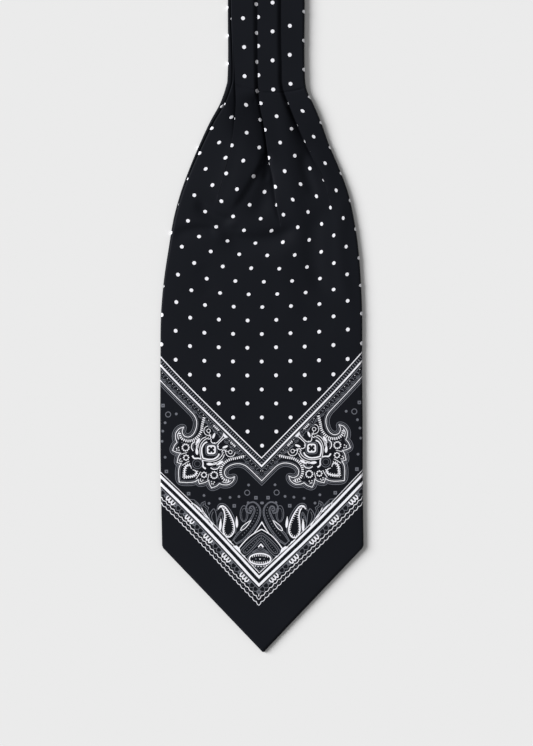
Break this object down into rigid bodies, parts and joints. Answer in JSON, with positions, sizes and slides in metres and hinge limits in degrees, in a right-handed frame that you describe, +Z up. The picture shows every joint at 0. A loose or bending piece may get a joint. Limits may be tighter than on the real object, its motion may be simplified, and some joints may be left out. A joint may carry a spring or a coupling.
{
  "type": "silk cravat",
  "caption": "Self-tie silk day cravat laid flat, with two wide pointed blades and a pleated neckband between them.",
  "frame": {"origin": "under the middle of the neckband, on the plane that the cravat lies on", "axes": "+Z up from the surface, +Y along the cravat towards the far blade, +X to the right with the near blade's point towards the viewer"},
  "size_m": [0.1508, 1.22, 0.0042],
  "materials": {
    "printed_silk": "near-black navy silk twill with a low sheen, printed with white pin dots and a white paisley border",
    "back_silk": "the same silk twill on the underside, printed with white pin dots"
  },
  "bodies": {
    "root": {"blade_front": "printed_silk", "blade_back": "back_silk", "neckband_pleat_1": "printed_silk", "neckband_pleat_2": "printed_silk", "neckband_pleat_3": "printed_silk", "neckband_back": "back_silk", "far_blade_front": "printed_silk", "far_blade_back": "back_silk"}
  },
  "joints": []
}
